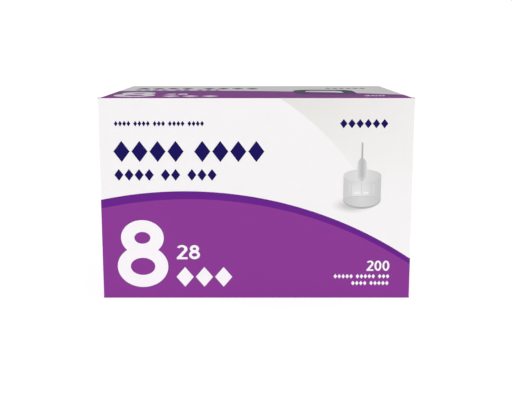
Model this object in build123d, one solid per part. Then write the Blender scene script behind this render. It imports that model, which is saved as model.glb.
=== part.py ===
"""A sealed folding carton, glued shut at both ends, in millimetres.

One die-cut sheet of board makes it. The front, top, back and bottom panels wrap round the X axis and are glued along
the lower back edge. At each end the dust flaps of the top and bottom panels fold in first, then the flap of the back
panel, and last the flap of the front panel, which closes the end. The pack is full and closed, so it is one solid.

The origin is the centre of the base, +X runs along the length, +Y to the back and +Z up.
"""

import os

from build123d import *

# Outside size of the closed carton
length = 130.0
depth = 75.0
height = 85.5

# Board, and the round that a crease leaves on its outside
board = 0.46
crease_radius = 0.4

# Cuts between the panels and flaps
flap_clearance = 0.5  # from the inner face of the top or bottom panel to the side edge of an end flap
free_edge_setback = 1.2  # from the back face to the free edge of the outer end flap
flap_corner_radius = 3.0  # round of the outer end flap's two free corners
seam_setback = 0.7  # from the back face to the raw edge of the bottom panel

# A crease is no rounder than its board, and ends before the cut beside it
crease = min(crease_radius, 0.95 * board, 0.95 * flap_clearance)

# Half the length of each wrap: a later flap folds over the one before, so its crease lies one board further out
front_reach = length / 2
back_reach = front_reach - board
dust_reach = back_reach - board

# Faces of the panels across the depth
front_outside = -depth / 2
front_inside = front_outside + board
back_outside = depth / 2
back_inside = back_outside - board

# The end flaps stand in one band, and the slits that part them from the dust flaps make a thin band above and below
flap_edge = board + flap_clearance
flap_height = height - 2 * flap_edge


def rectangle(x_low: float, x_high: float, y_low: float, y_high: float) -> Sketch:
    """Rectangle between two pairs of limits, in the axes of its own plane."""
    return Pos((x_low + x_high) / 2, (y_low + y_high) / 2) * Rectangle(x_high - x_low, y_high - y_low)


def along_x(section: Sketch, reach: float) -> Part:
    """Section drawn in Y and Z, carried the same way to both ends."""
    return extrude(Plane.YZ * section, reach, both=True)


def along_y(profile: Sketch, y_low: float, y_high: float) -> Part:
    """Profile drawn in X and Z, carried from one depth to another."""
    return Pos(0, y_high, 0) * extrude(Plane.XZ * profile, y_high - y_low)


def end_flap_band() -> Part:
    """Back panel with its flaps folded forward, under the front panel's flaps that close both ends."""
    back_plan = rectangle(-back_reach, back_reach, front_inside, back_outside)
    back_plan = fillet(back_plan.vertices().group_by(Axis.Y)[-1], crease)
    front_plan = rectangle(-front_reach, front_reach, front_outside, back_outside - free_edge_setback)
    front_plan = fillet(front_plan.vertices().group_by(Axis.Y)[0], crease)
    front_wrap = extrude(front_plan, flap_height)
    free_corners = front_wrap.edges().filter_by(Axis.X).group_by(Axis.Y)[-1]
    front_wrap = fillet(free_corners, flap_corner_radius)
    return Pos(0, 0, flap_edge) * (extrude(back_plan, flap_height) + front_wrap)


def top_band() -> Part:
    """Top panel creased down into its dust flaps, between the square-cut ends of the front and back panels."""
    panel = rectangle(-dust_reach, dust_reach, height - flap_edge, height)
    panel = fillet(panel.vertices().group_by(Axis.Y)[-1], crease)
    front_rim = rectangle(front_outside, front_inside, height - flap_edge, height)
    front_rim = fillet(front_rim.vertices().group_by(Axis.X)[0].sort_by(Axis.Y)[-1], crease)
    back_rim = rectangle(back_inside, back_outside, height - flap_edge, height)
    back_rim = fillet(back_rim.vertices().group_by(Axis.X)[-1].sort_by(Axis.Y)[-1], crease)
    rims = along_x(front_rim, front_reach) + along_x(back_rim, back_reach)
    return along_y(panel, front_inside, back_inside) + rims


def bottom_band() -> Part:
    """Bottom panel, whose raw edge laps the tab of the back panel, with dust flaps as at the top."""
    panel = rectangle(-dust_reach, dust_reach, 0, board)
    panel = fillet(panel.vertices().group_by(Axis.Y)[0], crease)
    above_panel = rectangle(-dust_reach, dust_reach, board, flap_edge)
    front_rim = rectangle(front_outside, front_inside, 0, flap_edge)
    front_rim = fillet(front_rim.vertices().group_by(Axis.X)[0].sort_by(Axis.Y)[0], crease)
    tab_rim = rectangle(back_inside, back_outside, board, flap_edge)
    tab_rim = fillet(tab_rim.vertices().group_by(Axis.X)[-1].sort_by(Axis.Y)[0], crease)
    rims = along_x(front_rim, front_reach) + along_x(tab_rim, back_reach)
    lapped = along_y(panel, front_inside, back_outside - seam_setback)
    return lapped + along_y(above_panel, front_inside, back_inside) + rims


carton = end_flap_band() + top_band() + bottom_band()
carton.label = "carton"

os.makedirs("parts", exist_ok=True)
export_step(carton, "parts/carton.step")
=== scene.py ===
"""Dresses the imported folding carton: coated board, varnished print, cut board edges, and a white studio.

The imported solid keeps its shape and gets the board's material. The print lies on it as thin closed films,
folded over the creases with the board. It is drawn in millimetres on the panels: across is the carton's X,
and up is the height on the upright panels or the distance from the front edge on the top and bottom.
"""

import logging
import math
from collections.abc import Sequence
from dataclasses import dataclass, field
from enum import Enum

import bmesh
import bpy
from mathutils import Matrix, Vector
from mathutils.geometry import delaunay_2d_cdt


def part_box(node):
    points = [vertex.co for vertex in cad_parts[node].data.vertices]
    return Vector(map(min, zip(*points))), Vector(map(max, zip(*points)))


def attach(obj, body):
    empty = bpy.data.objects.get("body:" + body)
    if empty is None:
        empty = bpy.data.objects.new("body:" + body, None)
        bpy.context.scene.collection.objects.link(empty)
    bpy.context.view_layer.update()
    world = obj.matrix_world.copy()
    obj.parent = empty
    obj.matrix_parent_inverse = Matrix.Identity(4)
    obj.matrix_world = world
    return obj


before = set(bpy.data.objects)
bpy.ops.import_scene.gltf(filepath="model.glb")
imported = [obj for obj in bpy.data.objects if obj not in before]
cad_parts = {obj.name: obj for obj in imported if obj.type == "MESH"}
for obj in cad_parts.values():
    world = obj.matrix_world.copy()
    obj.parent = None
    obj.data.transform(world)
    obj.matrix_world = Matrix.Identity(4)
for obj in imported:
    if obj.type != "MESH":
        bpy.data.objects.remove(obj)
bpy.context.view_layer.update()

MM = 0.001
BODY = "root"
NODE = "carton"

FIRST_INK = 0.03  # height of the first print over the board, in millimetres
SECOND_INK = 0.06  # height of the print that lies over it
INK_CHANGE = 0.4  # share of the front top crease's turn where the top's print takes over
FLAP_CORNER_STEPS = 8  # straight runs in the round of an outer end flap's free corner
LARGEST_ROUND = 0.499  # largest radius of a rounded corner, as a share of the side
WHITE_BOARD = (245, 243, 243)  # colour of the bare board, 0 to 255

logging.basicConfig(level=logging.INFO, format="%(message)s")
log = logging.getLogger("carton")

Point = tuple[float, float]
Outline = list[Point]
Colour = tuple[float, float, float]
Socket = bpy.types.NodeSocket


def linear(colour: Colour) -> tuple[float, float, float, float]:
    """Turns a colour as a picture shows it, 0 to 255, into the shader's linear RGBA.

    Args:
        colour: Red, green and blue from 0 to 255.

    Returns:
        The linear colour with an alpha of 1.
    """
    shares = [channel / 255 for channel in colour]
    values = [s / 12.92 if s <= 0.04045 else ((s + 0.055) / 1.055) ** 2.4 for s in shares]
    return (*values, 1.0)


class Value:
    """A number that a shader works out. Python's operators on it add Math nodes."""

    def __init__(self, shader: "Shader", socket: Socket) -> None:
        """Wraps one output socket of a shader's tree."""
        self.shader = shader
        self.socket = socket

    def maths(self, operation: str, *terms: "Value | float", clamp: bool = False) -> "Value":
        """Adds one Math node.

        Args:
            operation: The Math node's operation.
            terms: What goes into its sockets, in order.
            clamp: Whether the result is kept from 0 to 1.

        Returns:
            The node's result.
        """
        inputs = dict(enumerate(terms))
        made = self.shader.node("ShaderNodeMath", inputs, operation=operation, use_clamp=clamp)
        return Value(self.shader, made.outputs[0])

    def __add__(self, other: "Value | float") -> "Value":
        """Sum."""
        return self.maths("ADD", self, other)

    def __radd__(self, other: float) -> "Value":
        """Sum, with a number on the left."""
        return self.maths("ADD", other, self)

    def __sub__(self, other: "Value | float") -> "Value":
        """Difference."""
        return self.maths("SUBTRACT", self, other)

    def __rsub__(self, other: float) -> "Value":
        """Difference, with a number on the left."""
        return self.maths("SUBTRACT", other, self)

    def __mul__(self, other: "Value | float") -> "Value":
        """Product."""
        return self.maths("MULTIPLY", self, other)

    def __rmul__(self, other: float) -> "Value":
        """Product, with a number on the left."""
        return self.maths("MULTIPLY", other, self)

    def __truediv__(self, other: "Value | float") -> "Value":
        """Quotient."""
        return self.maths("DIVIDE", self, other)

    def __rtruediv__(self, other: float) -> "Value":
        """Quotient, with a number on the left."""
        return self.maths("DIVIDE", other, self)

    def __pow__(self, other: "Value | float") -> "Value":
        """Power."""
        return self.maths("POWER", self, other)

    def clamped(self) -> "Value":
        """The value kept from 0 to 1."""
        return self.maths("ADD", self, 0.0, clamp=True)

    def rise(self, low: float, high: float) -> "Value":
        """Smooth step.

        Args:
            low: Where it is 0.
            high: Where it is 1.

        Returns:
            The step's value.
        """
        inputs = {"Value": self, "From Min": low, "From Max": high}
        made = self.shader.node("ShaderNodeMapRange", inputs, interpolation_type="SMOOTHSTEP")
        return Value(self.shader, made.outputs["Result"])


class Shader:
    """Node tree of one material or world."""

    def __init__(self, owner: bpy.types.Material | bpy.types.World) -> None:
        """Clears the owner's nodes and makes its tree ready.

        Args:
            owner: The material or world.
        """
        owner.use_nodes = True
        self.owner = owner
        self.tree = owner.node_tree
        self.tree.nodes.clear()

    def node(self, kind: str, inputs: dict | None = None, **settings: object) -> bpy.types.Node:
        """Adds one node.

        Args:
            kind: The node's type.
            inputs: Numbers, colours, values or sockets for its inputs, by name or index.
            settings: Its own settings, set first. Stops are a ramp's pairs of place and RGBA.

        Returns:
            The node.
        """
        made = self.tree.nodes.new(kind)
        for name, setting in settings.items():
            if name == "stops":
                self.set_stops(made.color_ramp, setting)
            else:
                setattr(made, name, setting)
        for name, given in (inputs or {}).items():
            socket = given.socket if isinstance(given, Value) else given
            if isinstance(socket, Socket):
                self.tree.links.new(socket, made.inputs[name])
            else:
                made.inputs[name].default_value = given
        return made

    @staticmethod
    def set_stops(ramp: bpy.types.ColorRamp, stops: Sequence[tuple[float, Sequence[float]]]) -> None:
        """Writes a ramp's stops.

        Args:
            ramp: The ramp.
            stops: Pairs of place and RGBA, in rising order.
        """
        while len(ramp.elements) < len(stops):
            ramp.elements.new(1.0)
        for element, (place, colour) in zip(ramp.elements, stops):
            element.position = place
            element.color = colour

    def place(self) -> tuple[Value, Value, Value]:
        """The shaded point's place.

        Returns:
            X, Y and Z in millimetres, as the carton stands.
        """
        coordinates = self.node("ShaderNodeTexCoord")
        split = self.node("ShaderNodeSeparateXYZ", {0: coordinates.outputs["Object"]})
        x, y, z = (Value(self, output) / MM for output in split.outputs)
        return x, y, z

    def noise(self, size: float, detail: float = 2.0, stretch: Sequence[float] = (1.0, 1.0, 1.0)) -> Value:
        """Noise about as coarse as a size.

        Args:
            size: Width of its patches, in millimetres.
            detail: Octaves of finer noise.
            stretch: How much finer it is along X, Y and Z.

        Returns:
            A value near 0.5, from 0 to 1.
        """
        coordinates = self.node("ShaderNodeTexCoord")
        scale = [share / (size * MM) for share in stretch]
        inputs = {0: coordinates.outputs["Object"], 1: scale}
        grid = self.node("ShaderNodeVectorMath", inputs, operation="MULTIPLY")
        inputs = {"Vector": grid.outputs[0], "Scale": 1.0, "Detail": detail}
        return Value(self, self.node("ShaderNodeTexNoise", inputs).outputs[0])

    def drift(self, size: float, detail: float = 2.0) -> Value:
        """Noise that goes up and down about zero."""
        return self.noise(size, detail) - 0.5

    def grey(self, level: Value) -> Socket:
        """Colour with the same level in red, green and blue."""
        return self.node("ShaderNodeCombineXYZ", {0: level, 1: level, 2: level}).outputs[0]

    def blend(self, factor: Value | float, first: object, second: object) -> Socket:
        """Mixes two colours.

        Args:
            factor: Share of the second colour.
            first: RGBA or a colour socket.
            second: RGBA or a colour socket.

        Returns:
            The mixed colour's socket.
        """
        inputs = {0: factor, 6: first, 7: second}
        return self.node("ShaderNodeMix", inputs, data_type="RGBA").outputs[2]

    def show(self, surface: bpy.types.Node) -> None:
        """Ends the tree with the surface that it shows."""
        kind = "World" if isinstance(self.owner, bpy.types.World) else "Material"
        self.node(f"ShaderNodeOutput{kind}", {"Surface": surface.outputs[0]})


# Unevenness of varnished print: width of its patches in millimetres, and how much each changes the look
CLOUD_WIDTH, CLOUD_SHARE = 9.0, 1.4
GRAIN_WIDTH, GRAIN_SHARE, GRAIN_GLOSS = 0.5, 0.6, 0.08
SHEEN_WIDTH, SHEEN_GLOSS = 3.0, 0.12
FIBRE_WIDTH, FIBRE_STRETCH, FIBRE_HEIGHT = 0.22, (0.35, 0.35, 1.0), 0.6
SWELL_WIDTH, SWELL_HEIGHT = 2.5, 0.8
RELIEF_STRENGTH = 0.6


@dataclass(frozen=True)
class BoardFinish:
    """Coated carton board under a satin varnish, with faint fibres and a slow unevenness from the press."""

    name: str
    colour: Colour  # as it is seen, 0 to 255
    roughness: float = 0.68
    specular: float = 0.08
    mottle: float = 0.012  # how far the colour drifts, as a share
    relief: float = 0.004  # depth of the fibres, in millimetres

    def colour_of(self, shader: Shader) -> Socket | Sequence[float]:
        """The colour before mottle. A finish with a drawn gradient puts its own here."""
        return linear(self.colour)[:3]

    def material(self) -> bpy.types.Material:
        """Builds the material.

        Returns:
            The material, under the finish's name.
        """
        shader = Shader(bpy.data.materials.new(self.name))
        cloud, grain = shader.drift(CLOUD_WIDTH, detail=3.0), shader.drift(GRAIN_WIDTH)
        drift = cloud * CLOUD_SHARE + grain * GRAIN_SHARE
        inputs = {0: self.colour_of(shader), 1: shader.grey(1.0 + drift * (2 * self.mottle))}
        colour = shader.node("ShaderNodeVectorMath", inputs, operation="MULTIPLY").outputs[0]
        roughness = self.roughness + shader.drift(SHEEN_WIDTH) * SHEEN_GLOSS + grain * GRAIN_GLOSS
        fibres = shader.noise(FIBRE_WIDTH, stretch=FIBRE_STRETCH) * FIBRE_HEIGHT
        height = fibres + shader.noise(SWELL_WIDTH, detail=1.0) * SWELL_HEIGHT
        inputs = {"Strength": RELIEF_STRENGTH, "Distance": self.relief * MM, "Height": height}
        bump = shader.node("ShaderNodeBump", inputs)
        inputs = {
            "Base Color": colour,
            "Roughness": roughness,
            "Specular IOR Level": self.specular,
            "Normal": bump.outputs[0],
        }
        shader.show(shader.node("ShaderNodeBsdfPrincipled", inputs))
        return shader.owner


@dataclass(frozen=True)
class CutEdgeFinish(BoardFinish):
    """Raw edge of the board where the die cut it: unvarnished grey-white fibre in thin plies."""

    ply: float = 0.11  # width of the plies' unevenness, in millimetres
    contrast: Point = (0.35, 0.65)  # levels of the noise at which a ply is darkest and palest
    fibre_colour: Colour = (214, 208, 198)

    def colour_of(self, shader: Shader) -> Socket:
        """Fibre colour with fine darker plies."""
        plies = shader.noise(self.ply, detail=3.0).rise(*self.contrast)
        return shader.blend(plies, linear(self.fibre_colour), linear(self.colour))


@dataclass(frozen=True)
class TintFinish(BoardFinish):
    """Pale tint, strongest at its curved edge near the top, that fades into the board down and rightwards."""

    strongest: Colour = (230, 228, 224)
    fade_bottom: float = 44.8  # height at which nothing of it is left
    fade_height: float = 40.7  # how far above that it is full
    fade_left: float = 15.0  # X from which it fades rightwards
    fade_across: float = 0.0122  # share of it that goes with each millimetre
    fade_power: float = 0.8  # under 1 for a fast start upwards

    def colour_of(self, shader: Shader) -> Socket:
        """Board colour mixed with the tint by the place on the panel.

        Args:
            shader: The material's tree.

        Returns:
            The colour's socket.
        """
        x, _, z = shader.place()
        upward = ((z - self.fade_bottom) / self.fade_height).clamped() ** self.fade_power
        across = (1.0 - (x - self.fade_left) * self.fade_across).clamped()
        return shader.blend(upward * across, linear(self.colour), linear(self.strongest))


@dataclass(frozen=True)
class Gradient:
    """Run of greys between two places on the front panel."""

    start: float  # in millimetres
    end: float  # in millimetres
    levels: Sequence[float]  # 0 to 255
    places: Sequence[float] = (0.0, 0.5, 1.0)  # shares of the way at which they lie

    def over(self, shader: Shader, place: Value) -> Socket:
        """Colour of the gradient for a place along it.

        Args:
            shader: The material's tree.
            place: The place, in millimetres.

        Returns:
            The colour's socket.
        """
        share = (place - self.start) / (self.end - self.start)
        stops = [(stop, linear((level, level, level))) for stop, level in zip(self.places, self.levels)]
        return shader.node("ShaderNodeValToRGB", {0: share}, stops=stops).outputs[0]


@dataclass(frozen=True, kw_only=True)
class GradedFinish(BoardFinish):
    """Printed grey that changes across the front panel, and can fade into the grey behind it."""

    across: Gradient
    behind: Gradient | None = None  # the grey that it fades into, if any
    fade: Point = (0.0, 1.0)  # heights at which nothing of it is left and at which it is full

    def colour_of(self, shader: Shader) -> Socket:
        """Grey at the point's place, faded into what lies behind.

        Args:
            shader: The material's tree.

        Returns:
            The colour's socket.
        """
        x, _, z = shader.place()
        colour = self.across.over(shader, x)
        if self.behind is None:
            return colour
        gone, full = self.fade
        share = ((z - gone) / (full - gone)).clamped()
        return shader.blend(share, self.behind.over(shader, x), colour)


@dataclass(frozen=True, kw_only=True)
class SoftSpotFinish(BoardFinish):
    """Board with a printed soft shade that is darkest in its middle and ends at an ellipse."""

    middle: Point
    reach: Point  # half width and half height of the ellipse
    shade: Colour = (198, 197, 197)
    fade: Point = (0.1, 0.98)  # shares of the reach at which it starts to fade and is gone

    def colour_of(self, shader: Shader) -> Socket:
        """Board colour with the shade mixed in by the distance from its middle.

        Args:
            shader: The material's tree.

        Returns:
            The colour's socket.
        """
        x, _, z = shader.place()
        across = (x - self.middle[0]) / self.reach[0]
        upward = (z - self.middle[1]) / self.reach[1]
        distance = (across * across + upward * upward) ** 0.5
        return shader.blend(1.0 - distance.rise(*self.fade), linear(self.colour), linear(self.shade))


@dataclass(frozen=True)
class PanelPlane:
    """Flat outer face of the carton with the axes in which its print is drawn."""

    origin: Vector  # where across and up are both zero, in millimetres
    across: Vector
    up: Vector
    outward: Vector  # away from the carton

    def point(self, across: float, up: float, lift: float) -> Vector:
        """Place in space of a point of the drawing, lifted off the face."""
        return self.origin + self.across * across + self.up * up + self.outward * lift


@dataclass(frozen=True)
class Crease:
    """Rounded fold between two faces, a quarter of a cylinder."""

    centre: Vector  # a point of the round's axis, in millimetres
    along: Vector  # direction of the axis
    first: Vector  # outward direction of the face that it starts from
    second: Vector  # outward direction of the face that it ends on
    radius: float  # of the board's outer face

    def spoke(self, turn: float) -> Vector:
        """Outward direction at a share of the quarter turn."""
        angle = turn * math.pi / 2
        return self.first * math.cos(angle) + self.second * math.sin(angle)

    def point(self, distance: float, turn: float, lift: float) -> Vector:
        """Place of a point at a distance along the fold and a share of its turn, lifted off the board."""
        return self.centre + self.along * distance + self.spoke(turn) * (self.radius + lift)


RIGHTWARD = Vector((1.0, 0.0, 0.0))
BACKWARD = Vector((0.0, 1.0, 0.0))
UPWARD = Vector((0.0, 0.0, 1.0))


@dataclass(frozen=True)
class FoldedCarton:
    """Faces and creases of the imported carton, in millimetres. The outside size comes from the frame."""

    length: float
    depth: float
    height: float
    board: float = 0.46
    crease: float = 0.4  # round of the creases
    flap_edge: float = 0.96  # height of the slit band at the top and bottom of each end
    free_edge_setback: float = 1.2  # from the back face to the outer end flaps' free edge
    flap_corner: float = 3.0  # round of these flaps' free corners
    seam_setback: float = 0.7  # from the back face to the bottom panel's raw edge

    @property
    def front_reach(self) -> float:
        """Half the length over the outer end flaps."""
        return self.length / 2

    @property
    def back_reach(self) -> float:
        """Half the length over the inner end flaps."""
        return self.front_reach - self.board

    @property
    def dust_reach(self) -> float:
        """Half the length over the dust flaps."""
        return self.back_reach - self.board

    @property
    def flap_top(self) -> float:
        """Height of the end flaps' upper edge."""
        return self.height - self.flap_edge

    @property
    def free_edge(self) -> float:
        """Distance from the front face to the free edge of the outer end flaps."""
        return self.depth - self.free_edge_setback

    @property
    def front(self) -> PanelPlane:
        """Front panel, drawn in X and height."""
        return PanelPlane(Vector((0, -self.depth / 2, 0)), RIGHTWARD, UPWARD, -BACKWARD)

    @property
    def back(self) -> PanelPlane:
        """Back panel, drawn in X and height."""
        return PanelPlane(Vector((0, self.depth / 2, 0)), RIGHTWARD, UPWARD, BACKWARD)

    @property
    def top(self) -> PanelPlane:
        """Top panel, drawn in X and the distance from the front face."""
        return PanelPlane(Vector((0, -self.depth / 2, self.height)), RIGHTWARD, BACKWARD, UPWARD)

    @property
    def bottom(self) -> PanelPlane:
        """Bottom panel, drawn in X and the distance from the front face."""
        return PanelPlane(Vector((0, -self.depth / 2, 0)), RIGHTWARD, BACKWARD, -UPWARD)

    def end(self, side: int, reach: float) -> PanelPlane:
        """Flap that closes an end, drawn in the distance from the front face and height."""
        return PanelPlane(Vector((side * reach, -self.depth / 2, 0)), BACKWARD, UPWARD, RIGHTWARD * side)

    def round_off(self, corner: Sequence[float], along: Vector, first: Vector, second: Vector) -> Crease:
        """Crease in the place of a sharp corner between two faces, given by a point of it."""
        centre = Vector([place - (a + b) * self.crease for place, a, b in zip(corner, first, second)])
        return Crease(centre, along, first, second, self.crease)

    def long_crease(self, back: int, height: float, vertical: int) -> Crease:
        """Crease along X at the back (1) or front (-1) of a face that looks up (1) or down (-1)."""
        corner = (0, back * self.depth / 2, height)
        return self.round_off(corner, RIGHTWARD, BACKWARD * back, UPWARD * vertical)

    def upright_crease(self, side: int, back: int) -> Crease:
        """Crease along Z at the right (1) or left (-1) end of the back (1) or front (-1) panel."""
        corner = (side * (self.front_reach if back < 0 else self.back_reach), back * self.depth / 2, 0)
        return self.round_off(corner, UPWARD, BACKWARD * back, RIGHTWARD * side)

    def dust_crease(self, side: int, height: float, vertical: int) -> Crease:
        """Crease along Y, from the front face backwards, at an end of a face that looks up or down."""
        corner = (side * self.dust_reach, -self.depth / 2, height)
        return self.round_off(corner, BACKWARD, UPWARD * vertical, RIGHTWARD * side)


def inside(point: Point, loops: Sequence[Outline]) -> bool:
    """Whether the loops wind round a point, where a loop that runs the other way round cuts a hole.

    Args:
        point: The point to test.
        loops: Closed outlines without a repeated end point, which may overlap.

    Returns:
        True for a point in the filled area.
    """
    x, y = point
    turns = 0
    for loop in loops:
        for (x0, y0), (x1, y1) in zip(loop, [*loop[1:], loop[0]]):
            if (y0 > y) != (y1 > y) and x < x0 + (y - y0) / (y1 - y0) * (x1 - x0):
                turns += 1 if y1 > y0 else -1
    return turns != 0


def rectangle(left: float, right: float, low: float, high: float) -> Outline:
    """Outline of an upright rectangle."""
    return [(left, low), (right, low), (right, high), (left, high)]


def rim_outline(reach: float, inner: float, low: float, high: float) -> Outline:
    """Narrow band along a panel's edge, with corners where the next patch of the film starts."""
    return [(-reach, low), (reach, low), (reach, high), (inner, high), (-inner, high), (-reach, high)]


def arc(centre: Point, radius: float | Point, start: float, end: float, steps: int) -> Outline:
    """Points along an arc of a circle or of an upright ellipse.

    Args:
        centre: Its centre.
        radius: Its radius, or its half width and half height.
        start: Angle of the first point, in degrees.
        end: Angle of the last point, in degrees.
        steps: Number of straight runs.

    Returns:
        The points, both ends included.
    """
    wide, high = radius if isinstance(radius, tuple) else (radius, radius)
    turns = [math.radians(start + (end - start) * i / steps) for i in range(steps + 1)]
    return [(centre[0] + wide * math.cos(t), centre[1] + high * math.sin(t)) for t in turns]


def oval(centre: Point, radius: float | Point, steps: int = 48) -> Outline:
    """Closed circle or upright ellipse."""
    return arc(centre, radius, 0, 360, steps)[:-1]


def crescent(
    centre: Point, radius: Point, width: Point, turn: Point, steps: int, raised: float = 0.0
) -> Outline:
    """Band along an arc of an upright ellipse.

    Args:
        centre: Centre of its outer edge.
        radius: Half width and half height of its outer edge.
        width: How much narrower and lower the ellipse of its inner edge is.
        turn: Angles of its two ends, in degrees.
        steps: Straight runs in each edge.
        raised: How far the inner edge's centre lies above the outer edge's.

    Returns:
        The outline's points.
    """
    start, end = turn
    inner_radius = (radius[0] - width[0], radius[1] - width[1])
    inner = arc((centre[0], centre[1] + raised), inner_radius, end, start, steps)
    return [*arc(centre, radius, start, end, steps), *inner]


def rounded(left: float, right: float, low: float, high: float, radius: float, steps: int = 5) -> Outline:
    """Rectangle with rounded corners.

    Args:
        left: Lowest place across.
        right: Highest place across.
        low: Lowest place up.
        high: Highest place up.
        radius: Radius of its corners, kept under half of its shorter side.
        steps: Straight runs in each corner.

    Returns:
        The outline's points.
    """
    r = min(radius, LARGEST_ROUND * (right - left), LARGEST_ROUND * (high - low))
    return [
        *arc((right - r, low + r), r, -90, 0, steps),
        *arc((right - r, high - r), r, 0, 90, steps),
        *arc((left + r, high - r), r, 90, 180, steps),
        *arc((left + r, low + r), r, 180, 270, steps),
    ]


class Film:
    """Thin printed film that lies on the board and folds with it, gathered face by face."""

    sunk = 0.02  # how far its back lies inside the board, so that no gap shows at its edge
    merge_grid = 1e4  # steps in a millimetre that tell corners apart
    cut_tolerance = 1e-7  # distance at which two points of an outline count as one

    def __init__(self, name: str, lift: float) -> None:
        """Starts an empty film.

        Args:
            name: Name of the piece.
            lift: Height of its face over the board, in millimetres.
        """
        self.name = name
        self.lift = lift
        self.bm = bmesh.new()
        self.corners: dict[tuple[int, ...], bmesh.types.BMVert] = {}

    def corner(self, place: Vector) -> bmesh.types.BMVert:
        """The vertex at a place, shared by all the faces that meet there.

        Args:
            place: The place, in millimetres.

        Returns:
            The vertex.
        """
        key = tuple(round(number * self.merge_grid) for number in place)
        if key not in self.corners:
            self.corners[key] = self.bm.verts.new(place * MM)
        return self.corners[key]

    def face(self, places: Sequence[Vector], outward: Vector) -> None:
        """Adds one face that looks outward.

        Args:
            places: Its corners in order, in millimetres.
            outward: The side that it looks to.
        """
        corners = [self.corner(place) for place in places]
        if len(set(corners)) < len(corners):
            return
        made = self.bm.faces.new(corners)
        made.normal_update()
        if made.normal.dot(outward) < 0:
            made.normal_flip()

    def patch(self, plane: PanelPlane, *loops: Outline) -> None:
        """Fills an outline on a panel.

        Args:
            plane: The panel.
            loops: Its outlines in the panel's drawing axes. Holes run the other way round.
        """
        points: list[Vector] = []
        edges: list[tuple[int, int]] = []
        for loop in loops:
            start = len(points)
            points += [Vector(point) for point in loop]
            edges += [(start + i, start + (i + 1) % len(loop)) for i in range(len(loop))]
        flat, _, triangles, *_ = delaunay_2d_cdt(points, edges, [], 0, self.cut_tolerance)
        for triangle in triangles:
            middle = sum((flat[i] for i in triangle), Vector((0.0, 0.0))) / len(triangle)
            if inside((middle.x, middle.y), loops):
                places = [plane.point(flat[i].x, flat[i].y, self.lift) for i in triangle]
                self.face(places, plane.outward)

    def fold(
        self, crease: Crease, start: float, end: float, turns: Point = (0.0, 1.0), steps: int = 5
    ) -> None:
        """Carries the film round a crease.

        Args:
            crease: The fold.
            start: Where the film starts along the fold.
            end: Where it ends along the fold.
            turns: Shares of the quarter turn at which it starts and ends.
            steps: Number of faces round the turn.
        """
        shares = [turns[0] + (turns[1] - turns[0]) * i / steps for i in range(steps + 1)]
        for low, high in zip(shares, shares[1:]):
            rim = [(start, low), (end, low), (end, high), (start, high)]
            places = [crease.point(distance, turn, self.lift) for distance, turn in rim]
            self.face(places, crease.spoke((low + high) / 2))

    def make(self, finish: BoardFinish, slot: str) -> None:
        """Closes the film into a thin shell and makes the piece, which rides on the carton's body.

        Args:
            finish: Its finish.
            slot: Name of its material slot; not used.
        """
        mesh = bpy.data.meshes.new(self.name)
        self.bm.to_mesh(mesh)
        self.bm.free()
        piece = bpy.data.objects.new(self.name, mesh)
        bpy.context.scene.collection.objects.link(piece)
        thickness = piece.modifiers.new("thickness", "SOLIDIFY")
        thickness.thickness = (self.lift + self.sunk) * MM
        thickness.offset = -1.0
        mesh.materials.append(finish.material())
        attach(piece, BODY)
        log.info("%s: %d faces", self.name, len(mesh.polygons))


@dataclass(frozen=True)
class Arch:
    """Upper edge of a printed field: the top of a circle, in the front panel's X and height."""

    middle: Point
    radius: float

    def level(self, x: float) -> float:
        """Height of the edge at an X."""
        return self.middle[1] + math.sqrt(self.radius**2 - (x - self.middle[0]) ** 2)


PURPLE_EDGE = Arch((-28.42, -125.4), 168.49)
VIOLET_EDGE = Arch((-29.86, -122.25), 168.72)


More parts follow.
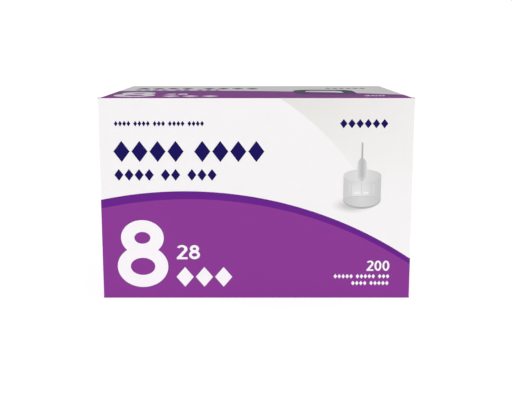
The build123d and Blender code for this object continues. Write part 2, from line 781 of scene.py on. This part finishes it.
@dataclass
class WaveField:
    """Printed field round all four sides and over the top, below a long arch and above a lower one."""

    name: str
    finish: BoardFinish  # its name also names the ink's material
    upper: Arch
    carton: FoldedCarton
    lower: Arch | None = None  # none where it reaches the bottom
    top_scale: float = 0.877  # how much shorter the same drawing is on the top panel
    steps: int = 56  # straight runs in each edge on a panel
    roof_steps: int = 4  # faces where it turns over the front top crease
    film: Film = field(init=False)

    def outline(self, reach: float, floor: float, scale: float = 1.0) -> Outline:
        """Outline between the two edges on a panel.

        Args:
            reach: Half the panel's width.
            floor: Where the field starts if it has no lower edge.
            scale: Scale of its heights.

        Returns:
            The outline's points.
        """
        xs = [reach * (2 * i / self.steps - 1) for i in range(self.steps + 1)]
        high = [(x, scale * self.upper.level(x)) for x in xs]
        low = [(-reach, floor), (reach, floor)]
        if self.lower is not None:
            low = [(x, scale * self.lower.level(x)) for x in xs]
        return low + high[::-1]

    def span(self, x: float, floor: float, scale: float = 1.0) -> Point:
        """Lowest and highest point of the field at an X."""
        low = floor if self.lower is None else scale * self.lower.level(x)
        return low, scale * self.upper.level(x)

    def sides(self) -> None:
        """Adds the front and back panels, and the end flaps between them."""
        c = self.carton
        front_flat, back_flat = c.front_reach - c.crease, c.back_reach - c.crease
        self.film.patch(c.front, self.outline(front_flat, c.flap_edge))
        self.film.patch(c.back, self.outline(back_flat, c.flap_edge))
        for side in (-1, 1):
            low, high = self.span(side * front_flat, c.flap_edge)
            self.film.fold(c.upright_crease(side, -1), low, high)
            self.film.patch(c.end(side, c.front_reach), self.flap(c.crease, c.free_edge, low, high))
            low, high = self.span(side * back_flat, c.flap_edge)
            covered = c.free_edge - c.flap_corner
            self.film.patch(c.end(side, c.back_reach), rectangle(covered, c.depth - c.crease, low, high))
            self.film.fold(c.upright_crease(side, 1), low, high)

    def flap(self, start: float, end: float, low: float, high: float) -> Outline:
        """Outline on an outer end flap, with the round of its lower free corner where the field reaches it.

        Args:
            start: Where it starts, from the front face.
            end: The flap's free edge.
            low: Its lower edge.
            high: Its upper edge.

        Returns:
            The outline's points.
        """
        if low > self.carton.flap_edge:
            return rectangle(start, end, low, high)
        radius = self.carton.flap_corner
        corner = arc((end - radius, low + radius), radius, -90, 0, FLAP_CORNER_STEPS)
        return [(start, low), *corner, (end, high), (start, high)]

    def roof(self) -> None:
        """Adds the top panel, which repeats the front's drawing, and the turn into the dust flaps."""
        c = self.carton
        flat = c.dust_reach - c.crease
        self.film.patch(c.top, self.outline(flat, c.board, self.top_scale))
        for side in (-1, 1):
            low, high = self.span(side * flat, c.board, self.top_scale)
            self.film.fold(c.dust_crease(side, c.height, 1), low, high)
            self.film.patch(c.end(side, c.dust_reach), rectangle(low, high, c.flap_top, c.height - c.crease))
        if self.lower is None:
            self.film.patch(c.top, rim_outline(c.front_reach, flat, c.crease, c.board))
            crease = c.long_crease(-1, c.height, 1)
            self.film.fold(crease, -c.front_reach, c.front_reach, (INK_CHANGE, 1.0), self.roof_steps)

    def floor(self) -> None:
        """Adds the bottom panel and the creases that lead to it."""
        c = self.carton
        flat, seam = c.dust_reach - c.crease, c.depth - c.seam_setback
        front_flat, back_flat = c.front_reach - c.crease, c.back_reach - c.crease
        self.film.patch(c.front, rim_outline(c.front_reach, front_flat, c.crease, c.flap_edge))
        self.film.fold(c.long_crease(-1, 0.0, -1), -c.front_reach, c.front_reach)
        self.film.patch(c.bottom, rim_outline(c.front_reach, flat, c.crease, c.board))
        self.film.patch(c.bottom, rectangle(-flat, flat, c.board, seam))
        self.film.patch(c.back, rim_outline(c.back_reach, back_flat, c.board + c.crease, c.flap_edge))
        self.film.fold(c.long_crease(1, c.board, -1), -c.back_reach, c.back_reach)
        for side in (-1, 1):
            self.film.fold(c.dust_crease(side, 0.0, -1), c.board, seam)
            self.film.patch(c.end(side, c.dust_reach), rectangle(c.board, seam, c.crease, c.flap_edge))

    def build(self) -> None:
        """Builds the field's film on all its panels."""
        self.film = Film(self.name, FIRST_INK)
        self.sides()
        self.roof()
        if self.lower is None:
            self.floor()
        self.film.make(self.finish, self.finish.name)


class Sign(Enum):
    """Plain diamond or bold figure, drawn in a box that is one wide and one high."""

    DIAMOND = "diamond"
    ZERO = "0"
    TWO = "2"
    EIGHT = "8"

    def loops(self) -> list[Outline]:
        """Its outlines.

        Returns:
            The outlines, where holes run the other way round.
        """
        if self is Sign.DIAMOND:
            return [[(0.0, 0.5), (0.5, 0.0), (1.0, 0.5), (0.5, 1.0)]]
        if self is Sign.ZERO:
            return [oval((0.5, 0.5), (0.5, 0.5)), oval((0.5, 0.5), (0.22, 0.335))[::-1]]
        if self is Sign.TWO:
            bow = arc((0.5, 0.715), (0.5, 0.285), 158, -36, 24)
            hollow = arc((0.48, 0.715), (0.22, 0.145), -38, 150, 20)
            return [[*bow, (0.43, 0.15), (1.0, 0.15), (1.0, 0.0), (0.0, 0.0), (0.0, 0.12), *hollow]]
        lower, upper = (0.5, 0.311), (0.5, 0.738)
        return [
            oval(lower, (0.5, 0.311)),
            oval(upper, (0.42, 0.262)),
            oval(lower, (0.2425, 0.129))[::-1],
            oval(upper, (0.1575, 0.088))[::-1],
        ]


@dataclass(frozen=True)
class SignRow:
    """Row of signs in groups: a plain ornament of diamonds, or a number."""

    start: float  # left end of the row, or its right end where it is set from the right
    low: float
    width: float  # of a sign
    height: float  # of a sign
    groups: tuple[tuple[Sign, ...], ...]
    gap: float  # between two signs, as a share of a sign's width
    space: float = 0.8  # between two groups, as a share of it
    from_right: bool = False

    def placed(self, sign: Sign, x: float) -> list[Outline]:
        """Outlines of a sign whose left end is at an X."""
        return [[(x + u * self.width, self.low + v * self.height) for u, v in loop] for loop in sign.loops()]

    def signs(self) -> list[list[Outline]]:
        """Its signs in their places, from the left.

        Returns:
            The outlines of each sign.
        """
        count, groups = sum(len(group) for group in self.groups), len(self.groups)
        length = self.width * (count + (count - groups) * self.gap + (groups - 1) * self.space)
        x = self.start - (length if self.from_right else 0.0)
        made = []
        for group in self.groups:
            for sign in group:
                made.append(self.placed(sign, x))
                x += self.width * (1 + self.gap)
            x += self.width * (self.space - self.gap)
        return made


def diamonds(*place: float, counts: Sequence[int], **more: float | bool) -> SignRow:
    """Row of diamonds, by its start, low edge, width and height and the number in each group."""
    return SignRow(*place, groups=tuple((Sign.DIAMOND,) * n for n in counts), gap=0.12, **more)


def number(*place: float, figures: Sequence[Sign], **more: float | bool) -> SignRow:
    """Number in bold figures, by its start, low edge, width and height and its figures."""
    return SignRow(*place, groups=(figures,), gap=0.14, **more)


TWENTY_EIGHT = (Sign.TWO, Sign.EIGHT)
TWO_HUNDRED = (Sign.TWO, Sign.ZERO, Sign.ZERO)

# Rows on each panel by piece: where the row starts, its low edge, and a sign's width and height
FRONT_PRINT = {
    "navy_diamonds": (
        diamonds(-58.6, 73.7, 1.55, 2.3, counts=(4, 4, 3, 4, 4)),
        diamonds(-59.1, 58.8, 6.65, 8.9, counts=(4, 4), space=0.66),
        diamonds(-59.0, 50.9, 3.75, 5.0, counts=(4, 2, 3)),
        diamonds(54.2, 72.9, 3.0, 3.9, counts=(6,), from_right=True),
    ),
    "white_diamonds": (
        diamonds(-33.9, 5.0, 7.3, 8.7, counts=(3,)),
        diamonds(56.4, 8.6, 1.5, 2.0, counts=(5, 5, 3), from_right=True),
        diamonds(56.2, 5.6, 1.5, 2.0, counts=(4, 5), from_right=True),
    ),
    "white_numbers": (
        number(-58.7, 4.9, 21.4, 29.2, figures=(Sign.EIGHT,)),
        number(-33.7, 17.1, 4.6, 6.2, figures=TWENTY_EIGHT),
        number(56.3, 12.0, 2.95, 4.5, figures=TWO_HUNDRED, from_right=True),
    ),
}
TOP_PRINT = {
    "navy_diamonds": (
        diamonds(-57.9, 50.2, 6.3, 7.6, counts=(4, 4), space=0.66),
        diamonds(-57.6, 42.8, 3.6, 4.4, counts=(4, 2, 3)),
        diamonds(53.6, 54.8, 3.0, 3.6, counts=(6,), from_right=True),
    ),
    "white_diamonds": (diamonds(-39.6, 4.2, 7.3, 7.6, counts=(3,)),),
    "white_numbers": (
        number(-60.9, 4.0, 17.6, 27.0, figures=(Sign.EIGHT,)),
        number(-39.6, 16.0, 4.6, 5.8, figures=TWENTY_EIGHT),
        number(54.6, 8.6, 2.7, 4.4, figures=TWO_HUNDRED, from_right=True),
    ),
}


@dataclass
class PanelPrint:
    """Navy and white print on the front panel and, drawn again more squatly, on the top panel."""

    carton: FoldedCarton
    frame_middle: Point = (31.0, 32.0)
    frame_outer: Point = (13.8, 7.2)  # half the width of the frame's outer edge, and its corners' radius
    frame_inner: Point = (8.4, 4.2)  # the same of its inner edge
    frame_steps: int = 10  # straight runs in each of its corners

    def square(self, reach: float, radius: float) -> Outline:
        """Rounded square about the middle of the top panel's frame."""
        x, t = self.frame_middle
        return rounded(x - reach, x + reach, t - reach, t + reach, radius, self.frame_steps)

    def build(self) -> None:
        """Builds the rows in their inks, and the frame on the top."""
        c = self.carton
        navy = BoardFinish("navy_ink", (27, 18, 88), mottle=0.03)
        slate = BoardFinish("slate_ink", (58, 58, 82), mottle=0.03)
        white = BoardFinish("white_reserve", (248, 245, 248))
        for name, finish in (("navy_diamonds", navy), ("white_diamonds", white), ("white_numbers", white)):
            film = Film(name, SECOND_INK)
            for plane, rows in ((c.front, FRONT_PRINT[name]), (c.top, TOP_PRINT[name])):
                for row in rows:
                    for sign in row.signs():
                        film.patch(plane, *sign)
            film.make(finish, finish.name)
        mark = Film("top_frame", SECOND_INK)
        mark.patch(c.top, self.square(*self.frame_outer), self.square(*self.frame_inner)[::-1])
        mark.make(slate, "navy_ink")


@dataclass
class PaleTint:
    """Pale tint in the front panel's upper right, with a crisp curved edge on its left."""

    carton: FoldedCarton
    middle: Point = (-51.2, -9.7)  # of the circle that its edge follows
    radius: float = 112.8
    low: float = 43.8  # height at which it has faded into the board
    steps: int = 28  # straight runs in its curved edge

    def edge(self, height: float) -> float:
        """X of the curved edge at a height."""
        return self.middle[0] + math.sqrt(self.radius**2 - (height - self.middle[1]) ** 2)

    def build(self) -> None:
        """Builds the tint, which turns a part of the way over the top and right creases."""
        c = self.carton
        top, flat = c.height - c.crease, c.front_reach - c.crease
        angles = [math.degrees(math.asin((z - self.middle[1]) / self.radius)) for z in (top, self.low)]
        curve = arc(self.middle, self.radius, *angles, self.steps)
        corner = [(flat, self.low), (flat, c.flap_top), (c.front_reach, c.flap_top), (c.front_reach, top)]
        film = Film("pale_tint", FIRST_INK)
        film.patch(c.front, curve + corner)
        film.fold(c.long_crease(-1, c.height, 1), self.edge(top), c.front_reach, (0.0, INK_CHANGE), steps=2)
        film.fold(c.upright_crease(1, -1), self.low, c.flap_top, turns=(0.0, 0.5), steps=3)
        film.make(TintFinish("pale_tint", WHITE_BOARD), "pale_tint")


Ellipse = tuple[Point, Point]  # its middle, and its half width and half height
Bar = tuple[float, float, float, float, float]  # left, right, lower and upper edge, and radius of the corners


@dataclass
class NeedlePicture:
    """Printed picture in greys: a clear cup with a hub in its middle and a needle on top, in simple shapes.

    Sizes and places are in millimetres on the front panel. A width of two numbers has one across and one up.
    """

    carton: FoldedCarton
    layer_step: float = 0.008  # how much higher a shape lies than the one under it
    steps: int = 32  # straight runs in half of the cup's ovals
    cup_shade: Ellipse = ((40.03, 40.45), (10.0, 4.0))
    cup_foot: Ellipse = ((44.03, 42.95), (7.85, 3.95))
    cup_floor: Ellipse = ((44.03, 42.95), (7.85, 1.6))
    cup_mouth: Ellipse = ((44.03, 53.1), (7.85, 2.6))
    floor_line: Ellipse = ((44.03, 42.95), (7.65, 1.6))
    rim_width: Point = (0.3, 0.7)
    rim_raise: float = 0.1  # how far the lower rim's inner edge is raised
    line_width: Point = (0.1, 0.3)
    lip_width: Point = (0.15, 0.22)
    window: Bar = (39.83, 47.23, 44.35, 50.4, 0.4)
    window_fade: Point = (50.4, 47.95)  # heights at which nothing of it is left and at which it is full
    threads: tuple[Bar, ...] = (
        (40.13, 46.63, 47.4, 47.6, 0.1),
        (40.13, 46.43, 48.4, 48.6, 0.1),
        (40.13, 46.23, 49.4, 49.6, 0.1),
    )
    ridges: tuple[Bar, ...] = ((40.63, 43.53, 45.35, 46.25, 0.3), (44.23, 46.73, 45.35, 46.25, 0.3))
    side_lights: tuple[Bar, ...] = ((38.63, 38.98, 45.15, 49.55, 0.15), (48.53, 48.88, 45.15, 49.55, 0.15))
    bore: Bar = (43.62, 44.02, 45.4, 51.0, 0.1)
    dome: Ellipse = ((43.82, 55.3), (2.15, 5.3))
    dome_steps: int = 28
    edge_width: Point = (0.35, 0.45)
    edge_turn: Point = (35, 145)  # angles of the ends of the dome's edge, in degrees
    hub_waist: float = 53.1  # height under which it narrows
    hub_low: float = 50.6
    hub_foot: float = 0.5  # half its width there
    hub_fade: Point = (49.0, 53.1)  # heights at which nothing of it is left and at which it is full
    needle_reach: float = 0.36
    needle_low: float = 60.3
    needle_top: Point = (67.2, 66.6)  # heights of its slanted point at the left and at the right

    def layer(self, name: str, order: int, finish: BoardFinish, *loops: Outline) -> None:
        """Prints shapes over those before them.

        Args:
            name: Name of the piece.
            order: Its place in the stack.
            finish: Its finish.
            loops: Its outlines, each filled by itself.
        """
        film = Film(f"picture_{name}", SECOND_INK + self.layer_step * order)
        for loop in loops:
            film.patch(self.carton.front, loop)
        film.make(finish, "grey_ink")

    def graded(self, name: str, order: int, across: Gradient, *loops: Outline) -> None:
        """Prints shapes in greys that change across them."""
        self.layer(name, order, GradedFinish(f"{name}_grey", WHITE_BOARD, across=across), *loops)

    @staticmethod
    def across(ellipse: Ellipse, *levels_and_places: Sequence[float]) -> Gradient:
        """Greys that run from an ellipse's left end to its right."""
        (middle, _), (reach, _) = ellipse
        return Gradient(middle - reach, middle + reach, *levels_and_places)

    @property
    def wall(self) -> Gradient:
        """Greys of the cup's wall, which is round: darker at both sides."""
        return self.across(self.cup_foot, (205, 222, 200))

    @property
    def mouth(self) -> Gradient:
        """Greys of the cup's open mouth, where one wall fewer is seen through."""
        return self.across(self.cup_mouth, (215, 225, 205))

    def cup(self) -> None:
        """Prints the cup's soft shade, its wall, mouth, floor and rims."""
        foot, mouth, n = self.cup_foot, self.cup_mouth, self.steps
        middle, reach = self.cup_shade
        shade = SoftSpotFinish("picture_shade", WHITE_BOARD, middle=middle, reach=reach)
        front = arc(*foot, 180, 360, n)
        self.layer("shade", -1, shade, oval(*self.cup_shade))
        self.graded("cup", 0, self.wall, arc(*mouth, 0, 180, n) + front)
        self.graded("mouth", 1, self.mouth, oval(*mouth, 2 * n))
        for name, order, levels, outline in (
            ("floor", 1, (200, 215, 200), front + arc(*self.cup_floor, 0, 180, n)),
            ("rim", 4, (185, 172, 185), crescent(*foot, self.rim_width, (180, 360), n, self.rim_raise)),
            ("floor_line", 3, (192, 205, 198), crescent(*self.floor_line, self.line_width, (0, 180), n)),
            ("lip", 3, (212, 212, 205), crescent(*mouth, self.lip_width, (0, 180), n)),
        ):
            self.graded(name, order, self.across(foot, levels), outline)

    def view_inside(self) -> None:
        """Prints the pale window in the cup with the fine threads and bright ridges that show through it."""
        left, right, *_ = self.window
        pale = Gradient(left, right, (225, 230, 218))
        clear = GradedFinish("window_grey", WHITE_BOARD, across=pale, behind=self.wall, fade=self.window_fade)
        self.layer("window", 2, clear, rounded(*self.window))
        for name, order, grey, level, bars in (
            ("threads", 4, "thread_grey", (218, 219, 219), self.threads),
            ("ridges", 4, "ridge_white", (238, 238, 238), self.ridges),
            ("side_lights", 2, "side_light_grey", (220, 221, 221), self.side_lights),
            ("bore", 5, "bore_grey", (210, 211, 211), (self.bore,)),
        ):
            self.layer(name, order, BoardFinish(grey, level), *(rounded(*bar) for bar in bars))

    def hub(self) -> None:
        """Prints the hub that fades into the cup, its dome's edge and the needle with its slanted point."""
        (x, _), (reach, _) = self.dome
        greys = self.across(self.dome, (226, 205, 184, 205, 226), (0.0, 0.2, 0.5, 0.8, 1.0))
        clear = GradedFinish("hub_grey", WHITE_BOARD, across=greys, behind=self.mouth, fade=self.hub_fade)
        waist, low, foot = self.hub_waist, self.hub_low, self.hub_foot
        lower = [(x - reach, waist), (x - foot, low), (x + foot, low), (x + reach, waist)]
        self.layer("hub", 6, clear, lower + arc(*self.dome, 0, 180, self.dome_steps))
        edge = crescent(*self.dome, self.edge_width, self.edge_turn, self.dome_steps)
        self.layer("dome_edge", 7, BoardFinish("dome_edge_grey", (198, 199, 199)), edge)
        left, right, low = x - self.needle_reach, x + self.needle_reach, self.needle_low
        outline = [(left, low), (right, low), (right, self.needle_top[1]), (left, self.needle_top[0])]
        self.graded("needle", 8, Gradient(left, right, (165, 195), (0.0, 1.0)), outline)

    def build(self) -> None:
        """Builds the picture from the back to the front."""
        self.cup()
        self.view_inside()
        self.hub()


@dataclass
class CutEdges:
    """Raw board that shows where the die cut the flaps, the rims at the slits and the seam."""

    carton: FoldedCarton
    lift: float = 0.012  # of the film over the cut, in millimetres
    face_gap: float = 0.02  # between a rim's film and the panel's outer face
    seam_gap: float = 0.01  # between the seam's film and the bottom panel's outer face

    def flap_edges(self, film: Film, side: int) -> None:
        """Adds the upper, lower and free edges of an outer end flap, round its two free corners.

        Args:
            film: The film that they go into.
            side: 1 at the right end, -1 at the left end.
        """
        c = self.carton
        r, end = c.flap_corner, c.free_edge
        lower = arc((end - r, c.flap_edge + r), r, -90, 0, FLAP_CORNER_STEPS)
        upper = arc((end - r, c.flap_top - r), r, 0, 90, FLAP_CORNER_STEPS)
        run = [(c.crease, c.flap_edge), *lower, *upper, (c.crease, c.flap_top)]
        inner, outer = c.end(side, c.back_reach), c.end(side, c.front_reach)
        for first, second in zip(run, run[1:]):
            away = inner.across * (second[1] - first[1]) - inner.up * (second[0] - first[0])
            step = away.normalized() * film.lift
            corners = ((inner, first), (inner, second), (outer, second), (outer, first))
            film.face([plane.point(*place, 0) + step for plane, place in corners], away)

    def rim_ends(self, film: Film, side: int) -> None:
        """Adds the square-cut ends of the front and back panels at the slits.

        Args:
            film: The film that they go into.
            side: 1 at the right end, -1 at the left end.
        """
        c = self.carton
        front, back = c.end(side, c.front_reach), c.end(side, c.back_reach)
        tab_low = c.board + c.crease
        for low, high in ((c.crease, c.flap_edge), (c.flap_top, c.height - c.crease)):
            film.patch(front, rectangle(self.face_gap, c.board, low, high))
            film.patch(back, rectangle(c.depth - c.board, c.depth - self.face_gap, max(low, tab_low), high))

    def build(self) -> None:
        """Builds the cut edges as one piece."""
        c = self.carton
        film = Film("cut_edges", self.lift)
        for side in (-1, 1):
            self.flap_edges(film, side)
            self.rim_ends(film, side)
        seam = PanelPlane(Vector((0, c.depth / 2 - c.seam_setback, 0)), RIGHTWARD, UPWARD, BACKWARD)
        film.patch(seam, rectangle(-c.dust_reach, c.dust_reach, self.seam_gap, c.board))
        film.make(CutEdgeFinish("board_edge", (226, 221, 213), roughness=0.8), "board_edge")


@dataclass(frozen=True)
class Lamp:
    """Far soft lamp, given by where it stands and how much light it brings to a face turned to it."""

    name: str
    azimuth: float  # degrees from the front towards the right
    elevation: float  # degrees above the horizon
    level: float  # share of full light on a face turned to it
    softness: float = 11.0  # angle that it spans, in degrees

    def build(self) -> None:
        """Makes the lamp."""
        light = bpy.data.lights.new(self.name, "SUN")
        light.energy = math.pi * self.level
        light.angle = math.radians(self.softness)
        lamp = bpy.data.objects.new(self.name, light)
        a, e = math.radians(self.azimuth), math.radians(self.elevation)
        towards = Vector((math.sin(a) * math.cos(e), -math.cos(a) * math.cos(e), math.sin(e)))
        lamp.rotation_mode = "QUATERNION"
        lamp.rotation_quaternion = towards.to_track_quat("Z", "Y")
        lamp.visible_glossy = False
        bpy.context.scene.collection.objects.link(lamp)


@dataclass
class Studio:
    """White floor, even surrounding light and soft lamps at a plain level."""

    surround: float = 0.395  # strength of the even light on the carton
    floor_reach: float = 4.0  # radius, in metres
    floor_segments: int = 96  # straight runs round it
    floor_white: float = 0.9  # level of its paper
    floor_patch: float = 40.0  # width of the paper's uneven patches, in millimetres
    floor_mottle: float = 0.01  # how far its level drifts
    floor_seen: float = 0.45  # level of its own shading where it is seen
    floor_glow: float = 0.81  # light added there, so that its open part is white
    lamps: tuple[Lamp, ...] = (
        Lamp("front_lamp", 0, 6, 0.56),
        Lamp("right_lamp", 90, 6, 0.27),
        Lamp("left_lamp", -90, 6, 0.27),
        Lamp("back_lamp", 180, 6, 0.27),
    )

    @staticmethod
    def seen(shader: Shader) -> Value:
        """Tells rays that see the studio from light on the carton.

        Args:
            shader: The tree of the floor or the world.

        Returns:
            1 for rays from the camera, a mirror or glass, and 0 for light on the carton.
        """
        rays = shader.node("ShaderNodeLightPath").outputs
        names = ("Is Camera Ray", "Is Glossy Ray", "Is Transmission Ray")
        camera, glossy, glass = (Value(shader, rays[name]) for name in names)
        return (camera + glossy + glass).clamped()

    def world(self) -> None:
        """Makes the surrounding light, which is plain white where it is seen."""
        world = bpy.data.worlds.new("studio")
        bpy.context.scene.world = world
        shader = Shader(world)
        strength = self.surround + self.seen(shader) * (1.0 - self.surround)
        inputs = {"Color": (1.0, 1.0, 1.0, 1.0), "Strength": strength}
        shader.show(shader.node("ShaderNodeBackground", inputs))

    def floor_paper(self) -> bpy.types.Material:
        """Makes the floor's material, which is white where it is open and keeps the carton's shadow.

        Returns:
            The material.
        """
        shader = Shader(bpy.data.materials.new("floor_paper"))
        level = self.floor_white + shader.drift(self.floor_patch, detail=3.0) * self.floor_mottle
        paper = shader.node("ShaderNodeBsdfDiffuse", {"Color": shader.grey(level)})
        seen_colour = (self.floor_seen, self.floor_seen, self.floor_seen, 1.0)
        dimmed = shader.node("ShaderNodeBsdfDiffuse", {"Color": seen_colour})
        glow = shader.node("ShaderNodeEmission", {"Strength": self.floor_glow})
        lit = shader.node("ShaderNodeAddShader", {0: dimmed.outputs[0], 1: glow.outputs[0]})
        inputs = {0: self.seen(shader), 1: paper.outputs[0], 2: lit.outputs[0]}
        shader.show(shader.node("ShaderNodeMixShader", inputs))
        return shader.owner

    def floor(self) -> None:
        """Makes the floor, a wide round sheet just under the film on the carton's bottom."""
        bm = bmesh.new()
        bmesh.ops.create_circle(bm, cap_ends=True, radius=self.floor_reach, segments=self.floor_segments)
        mesh = bpy.data.meshes.new("floor")
        bm.to_mesh(mesh)
        bm.free()
        mesh.materials.append(self.floor_paper())
        floor = bpy.data.objects.new("floor", mesh)
        floor.location.z = -FIRST_INK * MM
        bpy.context.scene.collection.objects.link(floor)

    def build(self) -> None:
        """Sets up the light and the floor."""
        bpy.context.scene.view_settings.view_transform = "Standard"
        self.world()
        self.floor()
        for lamp in self.lamps:
            lamp.build()
        log.info("studio: floor and %d lamps", len(self.lamps))


@dataclass(frozen=True)
class PhotoCamera:
    """Camera at the photograph's place, tilted a little and shifted so that uprights stay nearly upright."""

    place: tuple[float, float, float] = (-0.0003, -0.3075, 0.10745)  # in metres
    tilt_down: float = 7.951  # degrees below the horizon
    turn: float = -0.025  # degrees to the left
    lens: float = 46.53  # focal length, in millimetres
    sensor: float = 36.0  # width, in millimetres
    shift: float = -0.13  # upward, as a share of the frame's width
    clip: Point = (0.01, 20.0)  # nearest and farthest distance that it sees, in metres

    def build(self) -> None:
        """Makes the camera and hands it to the scene."""
        data = bpy.data.cameras.new("photo_camera")
        data.lens = self.lens
        data.sensor_width = self.sensor
        data.shift_y = self.shift
        data.clip_start, data.clip_end = self.clip
        camera = bpy.data.objects.new("photo_camera", data)
        camera.location = self.place
        camera.rotation_euler = (math.radians(90 - self.tilt_down), 0.0, math.radians(self.turn))
        bpy.context.scene.collection.objects.link(camera)
        bpy.context.scene.camera = camera


def write_sizes() -> None:
    """Updates the view layer, so that all placements are current."""
    bpy.context.view_layer.update()


def main() -> None:
    """Builds the camera, the studio, the board and each piece of print, in order."""
    PhotoCamera().build()
    Studio().build()
    low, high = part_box(NODE)
    carton = FoldedCarton(*((high - low) / MM))
    board = BoardFinish("coated_board", WHITE_BOARD)
    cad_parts[NODE].material_slots[0].material = board.material()
    log.info("%s: coated board", NODE)
    purple = BoardFinish("purple_ink", (139, 59, 148), mottle=0.02)
    violet = BoardFinish("violet_ink", (105, 37, 138), mottle=0.02)
    WaveField("purple_field", purple, PURPLE_EDGE, carton).build()
    WaveField("violet_band", violet, VIOLET_EDGE, carton, PURPLE_EDGE).build()
    PaleTint(carton).build()
    PanelPrint(carton).build()
    NeedlePicture(carton).build()
    CutEdges(carton).build()
    write_sizes()


if __name__ == "__main__":
    main()
